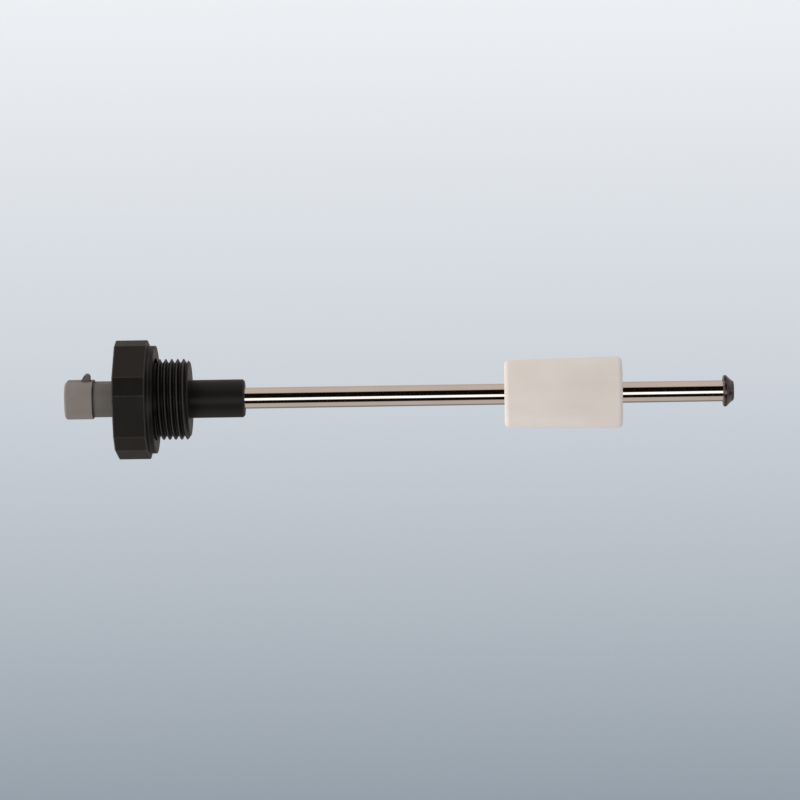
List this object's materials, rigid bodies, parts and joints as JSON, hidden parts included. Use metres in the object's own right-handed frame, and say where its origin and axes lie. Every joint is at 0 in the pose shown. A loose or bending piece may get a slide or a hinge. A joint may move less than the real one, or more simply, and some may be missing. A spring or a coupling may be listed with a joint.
{
  "type": "fuel sending unit",
  "caption": "Screw-in fuel level sender: threaded plug head with a socket, steel stem with switches inside, and a float that slides on the stem between two stops.",
  "frame": {"origin": "on the stem's axis, in the plane of the gasket's sealing face", "axes": "+Z along the stem's axis towards the electrical socket, +X towards the socket's lock nub"},
  "size_m": [0.0402, 0.0394, 0.2225],
  "materials": {
    "black_nylon": "moulded, satin",
    "seal_rubber": "smooth",
    "grey_nylon": "moulded, matt",
    "terminal_brass": "tin plated",
    "wire_insulation": "extruded",
    "potting_resin": "cast",
    "stainless_tube": "drawn and polished",
    "stainless_plug": "welded",
    "dark_spring_steel": "black oxide",
    "board_laminate": "solder mask",
    "reed_glass": "sealed glass",
    "chip_ceramic": "ceramic",
    "ferrite": "sintered ferrite",
    "float_plastic": "natural, milky white"
  },
  "bodies": {
    "sender": {"head_body": "black_nylon", "gasket": "seal_rubber", "connector_housing": "grey_nylon", "terminal_left": "terminal_brass", "terminal_right": "terminal_brass", "lead_wire_left": "wire_insulation", "lead_wire_right": "wire_insulation", "potting": "potting_resin", "stem_tube": "stainless_tube", "stem_plug": "stainless_plug", "retaining_cap": "dark_spring_steel", "star_washer": "dark_spring_steel", "circuit_board": "board_laminate", "reed_switch_1": "reed_glass", "resistor_1": "chip_ceramic", "reed_switch_2": "reed_glass", "resistor_2": "chip_ceramic", "reed_switch_3": "reed_glass", "resistor_3": "chip_ceramic", "reed_switch_4": "reed_glass", "resistor_4": "chip_ceramic", "reed_switch_5": "reed_glass", "resistor_5": "chip_ceramic", "reed_switch_6": "reed_glass", "resistor_6": "chip_ceramic", "reed_switch_7": "reed_glass", "resistor_7": "chip_ceramic", "reed_switch_8": "reed_glass", "resistor_8": "chip_ceramic"},
    "magnet": {"float_magnet": "ferrite"},
    "float": {"float_body": "float_plastic", "float_lid": "float_plastic"}
  },
  "joints": [
    {"name": "float_slide", "type": "slide", "parent": "sender", "child": "magnet", "axis": [0, 0, 1], "range_m": [-0.0331, 0.0863]},
    {"name": "float_turn", "type": "hinge", "parent": "magnet", "child": "float", "pos_m": [0, 0, -0.13575], "axis": [0, 0, 1], "continuous": true}
  ]
}
